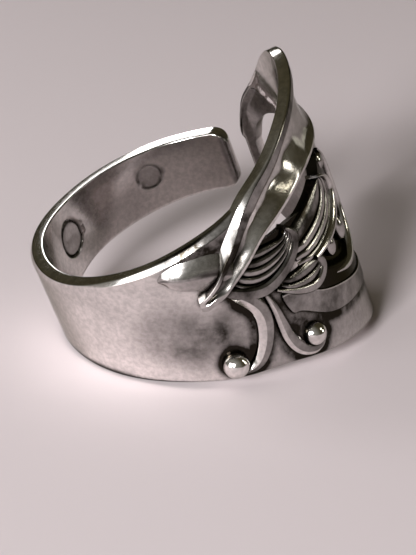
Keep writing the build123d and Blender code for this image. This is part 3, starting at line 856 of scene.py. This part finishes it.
def buildLobe(name, lobe, sizes, material):
    steps, ridgeSteps = sizes["steps"], sizes["ridgeSteps"]
    low = walkRows(lobe["low"], steps)
    high = walkRows(lobe["high"], steps)
    outer = ringSizes["outerRadius"]
    foot = outer - ringSizes["root"]
    share, within = [], []
    for start, end in zip(lobe["bounds"][:-1], lobe["bounds"][1:]):
        share.extend(start + (end - start) * k / ridgeSteps for k in range(ridgeSteps))
        within.extend(k / ridgeSteps for k in range(ridgeSteps))
    share = np.array(share + [1])
    within = np.array(within + [0])
    arch = np.clip(1 - (2 * within - 1) ** 2, 0, 1) ** sizes["archPower"]
    crown = 1 - sizes["crownDrop"] * (2 * share - 1) ** 2
    rings = []
    for i in range(steps):
        along = i / (steps - 1)
        ends = smoothStep(min(along / sizes["endLength"], 1)) * (1 - sizes["endShare"]) + sizes["endShare"]
        path = low[i][None, :] * (1 - share[:, None]) + high[i][None, :] * share[:, None]
        top = outer + sizes["rise"] * ends * crown - sizes["groove"] * (1 - arch)
        angles = np.concatenate([[path[0, 0]], path[:, 0], [path[-1, 0]]])
        heights = np.concatenate([[path[0, 1]], path[:, 1], [path[-1, 1]]]) * ringSizes["endHalf"]
        radii = np.concatenate([[foot], top, [foot]])
        rings.append(onHoop(angles, radii, heights))
    across = (lobe["tarnishShade"] + sizes["valleyStain"] * (1 - arch) ** sizes["valleyPower"]
              + lobe["highDarkening"] * risePast(share, *sizes["highDarkeningStart"]))
    tarnishShades = [blackStain, *across, blackStain]
    return skinRings(name, rings, material, crease=48, tarnishShades=tarnishShades * steps)


for lobeName, lobeRows in lobeSizes["lobes"].items():
    buildLobe(lobeName, lobeRows, lobeSizes, carvedSilver)
print("stage: lobes")

# Straps laid along the wall. Rows: angle, height share, shares of width and of rise.
strapSizes = {
    # each strap's own darkening is tarnish and painted shade
    "firstBorder": {"width": 0.84, "rise": 0.56, "bevel": 0.17, "tarnishShade": 0.78, "rows": [
        (-43.6, 0.306, 0.30, 0.90), (-41.0, 0.245, 0.65, 1.00), (-42.0, 0.170, 0.90, 1.00),
        (-46.5, 0.095, 1.00, 1.00), (-52.5, 0.045, 1.05, 1.00), (-59.0, 0.025, 1.10, 1.00),
        (-65.5, 0.058, 1.05, 0.97), (-70.0, 0.105, 0.95, 0.92), (-73.0, 0.150, 0.80, 0.85)]},
    "secondBorder": {"width": 0.8, "rise": 0.62, "bevel": 0.14, "tarnishShade": 0.24, "dome": 0, "rows": [
        (-17.5, 0.362, 0.25, 0.85), (-11.0, 0.290, 0.50, 0.95), (-8.0, 0.180, 0.85, 1.00),
        (-10.5, 0.085, 1.15, 1.00), (-17.0, 0.005, 1.15, 1.00), (-25.5, -0.024, 0.95, 1.00),
        (-34.5, -0.034, 0.70, 0.9)]},
    "thirdBorder": {"width": 0.84, "rise": 0.50, "bevel": 0.12, "tarnishShade": 0.56, "rows": [
        (-55.0, -0.030, 0.25, 0.80), (-48.5, -0.112, 0.55, 0.90), (-42.0, -0.172, 0.75, 0.95),
        (-35.5, -0.185, 0.85, 0.95), (-31.5, -0.115, 0.75, 0.95), (-33.5, -0.045, 0.50, 0.90)]},
    "tendrilFront": {"width": 1.10, "rise": 0.52, "bevel": 0.17, "leftBevel": 0.44, "tarnishShade": 0.72, "rows": [
        (-71.0, 0.105, 0.55, 0.90), (-66.3, 0.020, 1.00, 1.00), (-63.6, -0.070, 1.00, 1.00),
        (-62.9, -0.170, 1.00, 1.00), (-64.3, -0.280, 0.95, 1.00), (-67.0, -0.370, 0.85, 1.00),
        (-71.2, -0.440, 0.65, 0.95), (-76.0, -0.462, 0.30, 0.70)]},
    "tendrilSide": {"width": 0.7, "rise": 0.50, "bevel": 0.17, "leftBevel": 0.24, "tarnishShade": 0.66, "rows": [
        (-59.2, -0.020, 0.60, 0.75), (-57.9, -0.140, 0.86, 0.95), (-57.3, -0.250, 1.03, 1.00),
        (-56.5, -0.360, 1.22, 1.00), (-54.5, -0.465, 1.32, 1.00), (-50.6, -0.545, 1.20, 1.00),
        (-45.6, -0.568, 1.05, 1.00), (-41.7, -0.525, 0.50, 0.85)]},
    "calyx": {"width": 0.34, "rise": 0.44, "bevel": 0.12, "tarnishShade": 0.30, "dome": 0, "rows": [
        (-2.0, 0.400, 0.50, 0.50), (4.0, 0.280, 0.80, 0.80), (7.5, 0.120, 1.10, 0.95),
        (8.0, -0.060, 1.40, 1.00), (6.0, -0.210, 1.90, 1.00), (0.0, -0.325, 2.30, 1.00),
        (-8.0, -0.372, 2.30, 0.95), (-16.0, -0.345, 1.70, 0.85), (-24.0, -0.290, 0.60, 0.45)]},
    "sideNub": {"width": 2.15, "rise": 0.60, "bevel": 0.62, "tarnishShade": 0.45, "dome": 0.5, "crease": 14,
                "rows": [
        (-93.4, 0.345, 0.10, 0.15), (-91.5, 0.350, 0.36, 0.44), (-87.0, 0.342, 0.76, 0.85),
        (-80.0, 0.320, 1.00, 0.92), (-74.0, 0.292, 1.14, 0.80), (-68.0, 0.240, 0.95, 0.70)]},
}

# What all straps share. The values from domePower on are for domed straps, and the ridge is the nub's.
strapShape = {
    "steps": 64,
    "leastHalf": 0.04,
    "mostBevel": 0.8,
    "bevelDrop": 0.9,
    "leftBevelDrop": 0.75,
    "rounding": 0.08,
    "domePower": 0.8,
    "ridgeAt": 0.12,
    "highPower": 1.35,
    "flatPower": 1.2,
    "flatPoints": 8,
    # a painted dark reflection along the nub's ridge
    "ridgeDarkReflection": [0.4, 0.6, 0.75, 0.75, 0.5],
}


def buildStrap(name, sizes, shape, material):
    table = walkRows(sizes["rows"], shape["steps"])
    outer = ringSizes["outerRadius"]
    half = ringSizes["endHalf"]
    foot = -ringSizes["root"]
    slope = np.gradient(table[:, :2], axis=0)
    rings = []
    for (angle, height, widthShare, riseShare), (alongAngle, alongHeight) in zip(table, slope):
        along = outer * math.radians(alongAngle)
        up = half * alongHeight
        length = math.hypot(along, up)
        turn = math.radians(angle)
        outward = np.array([math.cos(turn), math.sin(turn), 0])
        around = np.array([-math.sin(turn), math.cos(turn), 0])
        tangent = (around * along + np.array([0, 0, up])) / length
        across = np.cross(outward, tangent)
        place = onHoop(angle, outer, half * height)
        width = max(sizes["width"] * widthShare / 2, shape["leastHalf"])
        top = sizes["rise"] * riseShare
        bevel = min(sizes["bevel"], width * shape["mostBevel"])
        leftBevel = min(sizes.get("leftBevel", bevel), width * shape["mostBevel"])
        corners = [(-width, foot), (width, foot), (width, top - bevel * shape["bevelDrop"]),
                   (width - bevel, top), (leftBevel - width, top),
                   (-width, top - leftBevel * shape["leftBevelDrop"])]
        ring = roundCorners(corners, [0, 0] + [shape["rounding"]] * 4, steps=4)
        if "dome" in sizes:                                    # round, or flatter below a ridge if not zero
            flat, ridge, flatPoints = sizes["dome"], shape["ridgeAt"], shape["flatPoints"]
            sweep = np.linspace(0, math.pi, len(ring) - 2)
            ring[2:] = np.stack([width * np.cos(sweep), top * np.sin(sweep) ** shape["domePower"]], 1)
            if flat:
                down = np.linspace(0, 1, flatPoints)
                share = np.linspace(0, 1, len(ring) - 2 - flatPoints)[::-1]
                ring[2:-flatPoints] = np.stack([width * (share * (1 + ridge) - ridge),
                                                top * (1 - share ** shape["highPower"])], 1)
                ring[-flatPoints:] = np.stack([-width * (ridge + (1 - ridge) * down),
                                               top * (1 - flat * down ** shape["flatPower"])], 1)
        rings.append(place + ring[:, :1] * across + ring[:, 1:] * outward)
    tarnishShades = [blackStain] * 2 + [sizes["tarnishShade"]] * (len(rings[0]) - 2)
    if sizes.get("dome"):
        # the painted dark reflection along the ridge
        tarnishShades[-5 - shape["flatPoints"]:-shape["flatPoints"]] = shape["ridgeDarkReflection"]
    elif "leftBevel" in sizes:
        tarnishShades[-8:-2] = [0.0] * 6                              # the left bevel has no painted shade, so its reflection shows bright
    return skinRings(name, rings, material, crease=sizes.get("crease", 60), tarnishShades=tarnishShades * len(rings))


for strapName, strapRows in strapSizes.items():
    buildStrap(strapName, strapRows, strapShape, polishedSilver)
print("stage: straps")

# The plain collar plate below the lobes. Rows: angle, upper and lower edge, share of the rise.
collarSizes = {
    "rows": [(-53.6, -0.095, -0.150, 0.75), (-52.6, -0.092, -0.215, 0.95), (-50, -0.104, -0.262, 1.00),
             (-46, -0.130, -0.305, 1.00), (-38, -0.235, -0.420, 1.00),
             (-28, -0.335, -0.510, 1.00), (-16, -0.430, -0.575, 1.00), (-4, -0.505, -0.635, 1.00),
             (8, -0.560, -0.690, 1.00), (20, -0.610, -0.710, 1.00), (30, -0.645, -0.680, 0.70)],
    "rise": 0.34,
    "step": 0.8,
    "edgeRound": 0.12,
    "upperWidth": 0.14,
    # darkening of the flat, tarnish and painted shade; strength, angle and fade of the left end's painted
    # shade; how much lighter the upper edge is, a painted highlight
    "tarnishShade": 0.72,
    "leftShade": (0.16, -45.5, 6),
    "upperLighter": 0.55,
}


def buildCollar(sizes, material):
    angles = np.arange(sizes["rows"][0][0], sizes["rows"][-1][0] + 0.01, sizes["step"])
    leftShade, *leftFade = sizes["leftShade"]
    foot = ringSizes["outerRadius"] - ringSizes["root"]
    rounds = [0, sizes["edgeRound"], 0, 0, sizes["edgeRound"], 0]
    rings, tarnishShades = [], []
    for angle, (upper, lower, share) in zip(angles, followAngle(sizes["rows"], angles)):
        crest = ringSizes["outerRadius"] + sizes["rise"] * share
        low, high = lower * ringSizes["endHalf"], upper * ringSizes["endHalf"]
        middle = low + (high - low) * 0.5
        ring = roundCorners([(foot, low), (crest, low), (crest, middle), (crest, high - sizes["upperWidth"]),
                             (crest, high), (foot, high)], rounds, steps=4)
        rings.append(onHoop(angle, ring[:, 0], ring[:, 1]))
        # tarnish and painted shade on the flat, more painted shade at the left end, and a painted highlight
        # on the upper edge
        flat = sizes["tarnishShade"] + leftShade * fallTo(angle, *leftFade)
        tarnishShades += [blackStain] + [flat] * 7 + [flat - sizes["upperLighter"]] * 5 + [blackStain]
    return skinRings("collar", rings, material, crease=50, tarnishShades=tarnishShades)


buildCollar(collarSizes, polishedSilver)

# Balls at the tendrils' ends, and the buds. Rows: angle, height share, diameter,
# stand as a share of the radius, stretch along the hoop's axis, scale outwards, tarnish and painted shade.
beadSizes = {
    "ballFront": (-78.2, -0.384, 1.75, 0.25, 1.0, 1.0, 0.0),
    "ballSide": (-46.2, -0.478, 1.66, 0.22, 1.0, 1.0, 0.0),
    "budLow": (-5.5, -0.160, 1.15, -0.20, 1.70, 0.85, 0.5),
    "budSide": (-20.5, -0.120, 1.00, -0.20, 1.65, 0.85, 0.5),
    "budHigh": (-1.5, 0.310, 1.20, -0.30, 1.2, 0.8, 0.5),
}


def buildBead(name, sizes, material):
    angle, height, diameter, stand, stretch, scale, tarnishShade = sizes
    radius = diameter / 2
    place = onHoop(angle, ringSizes["outerRadius"] + radius * stand, height * ringSizes["endHalf"])
    turn = math.radians(angle)
    outward = np.array([math.cos(turn), math.sin(turn), 0])
    shape = bmesh.new()
    bmesh.ops.create_uvsphere(shape, u_segments=48, v_segments=28, radius=radius)
    points = np.array([tuple(v.co) for v in shape.verts])
    points -= np.outer(points @ outward, outward) * (1 - scale)
    points = points * np.array([1, 1, stretch]) + place
    faces = [tuple(v.index for v in face.verts) for face in shape.faces]
    shape.free()
    return newPiece(name, points, faces, material, crease=60, tarnishShades=[tarnishShade] * len(points))


for beadName, beadRow in beadSizes.items():
    buildBead(beadName, beadRow, polishedSilver)
print("stage: collar and beads")


def gatherTrails(pointsEach=60, collarPoints=70, ballShare=0.42):
    # middle lines of what is laid on the wall, each with its half width, rolled out flat in millimetres
    trails = []
    for name in ("tendrilFront", "tendrilSide", "firstBorder", "thirdBorder"):
        rows = walkRows(strapSizes[name]["rows"], pointsEach)
        trails.append((rows[:, 0], rows[:, 1], strapSizes[name]["width"] * rows[:, 2] / 2))
    first, last = collarSizes["rows"][0][0], collarSizes["rows"][-1][0]
    angles = np.linspace(first, last, collarPoints)
    upper, lower = followAngle(collarSizes["rows"], angles)[:, :2].T
    trails.append((angles, (upper + lower) / 2, (upper - lower) / 2 * ringSizes["endHalf"]))
    for name in ("ballFront", "ballSide"):
        angle, height, diameter = beadSizes[name][:3]
        trails.append((np.array([angle]), np.array([height]), np.array([diameter * ballShare])))
    flat = []
    for angles, heights, halves in trails:
        around = np.radians(angles) * ringSizes["outerRadius"]
        flat.append(np.stack([around, heights * ringSizes["endHalf"], halves], 1))
    return np.concatenate(flat)


handle = buildHandle(handleSizes, polishedSilver, gatherTrails())
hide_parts("ring")
print("stage: handle", len(handle.data.polygons), "faces")

# Floor and light
studio = {
    "floorColour": (0.72, 0.635, 0.655, 1),
    "floorRoughness": 0.9,
    "floorSpecular": 0.1,
    "floorSize": 3.0,
    # the light around is dark olive towards this side, and paler opposite; where one turns to the other
    "darkSide": (0.55, 0.83, 0),
    "darkRange": (-0.75, 0.15, 0, 1),
    "darkColour": (0.046, 0.040, 0.022, 1),
    "paleColour": (0.22, 0.215, 0.19, 1),
    # name, place, aim, width, height, watts, colour, and whether it lights the floor and shows in the silver
    "lamps": [
        ("windowLamp", (-0.226, -0.507, 0.225), (0, 0, 0), 0.16, 0.13, 5.3, (1.0, 1.0, 1.0), True, True),
        ("floorLamp", (-0.170, 0.07, 0.16), (0, 0, 0), 0.10, 0.10, 0.08, (1.0, 1.0, 1.0), True, False),
        ("leftLamp", (-0.225, -0.19, 0.075), (0, 0, 0.008), 0.15, 0.17, 0.27, (1.0, 1.0, 1.0), True, True),
        ("backLamp", (-0.15, 0.44, 0.250), (0, 0, 0.01), 0.12, 0.10, 0.19, (1.0, 1.0, 1.0), False, True),
        ("rimLamp", (-0.033, 0.0888, 0.0628), (-0.003, 0.009, 0.0097), 0.020, 0.015, 0.008, (1.0, 1.0, 1.0),
         False, True),
        ("rightLamp", (0.385, 0.005, 0.095), (0, 0, 0.01), 0.085, 0.07, 0.13, (1.0, 0.98, 0.86), False, True),
        ("sideLamp", (0.285, -0.030, 0.200), (0, 0, 0.01), 0.05, 0.05, 0.10, (1.0, 0.95, 0.76), False, True),
        ("lowLamp", (0.30, 0.27, 0.030), (0, 0, 0.01), 0.16, 0.06, 0.016, (1.0, 0.98, 0.86), False, True),
    ],
}


def buildStudio(sizes):
    half = sizes["floorSize"] / 2
    mesh = bpy.data.meshes.new("floor")
    corners = [(-half, -half, 0), (half, -half, 0), (half, half, 0), (-half, half, 0)]
    mesh.from_pydata(corners, [], [(0, 1, 2, 3)])
    material = bpy.data.materials.new("paleFloor")
    material.use_nodes = True
    shader = material.node_tree.nodes["Principled BSDF"]
    shader.inputs["Base Color"].default_value = sizes["floorColour"]
    shader.inputs["Roughness"].default_value = sizes["floorRoughness"]
    shader.inputs["Specular IOR Level"].default_value = sizes["floorSpecular"]
    mesh.materials.append(material)
    floor = bpy.data.objects.new("floor", mesh)
    bpy.context.scene.collection.objects.link(floor)
    for name, place, aim, width, height, watts, colour, onFloor, inSilver in sizes["lamps"]:
        light = bpy.data.lights.new(name, "AREA")
        light.shape = "RECTANGLE"
        light.size = width
        light.size_y = height
        light.energy = watts
        light.color = colour
        lamp = bpy.data.objects.new(name, light)
        lamp.location = place
        lamp.visible_camera = False
        lamp.visible_diffuse = onFloor
        lamp.visible_glossy = inSilver
        lamp.rotation_euler = (Vector(aim) - Vector(place)).to_track_quat("-Z", "Y").to_euler()
        bpy.context.scene.collection.objects.link(lamp)
    world = bpy.data.worlds.new("room")
    world.use_nodes = True
    nodes, links = world.node_tree.nodes, world.node_tree.links
    split = makeNode(nodes, "ShaderNodeVectorMath", operation="DOT_PRODUCT")
    links.new(nodes.new("ShaderNodeTexCoord").outputs["Generated"], split.inputs[0])
    split.inputs[1].default_value = sizes["darkSide"]
    shade = makeNode(nodes, "ShaderNodeMix", data_type="RGBA")
    darker = makeRange(nodes, links, split.outputs["Value"], *sizes["darkRange"])
    links.new(darker, shade.inputs["Factor"])
    shade.inputs["A"].default_value = sizes["paleColour"]
    shade.inputs["B"].default_value = sizes["darkColour"]
    links.new(shade.outputs["Result"], nodes["Background"].inputs["Color"])
    bpy.context.scene.world = world
    bpy.context.scene.view_settings.view_transform = "Standard"


buildStudio(studio)
print("stage: floor and light")
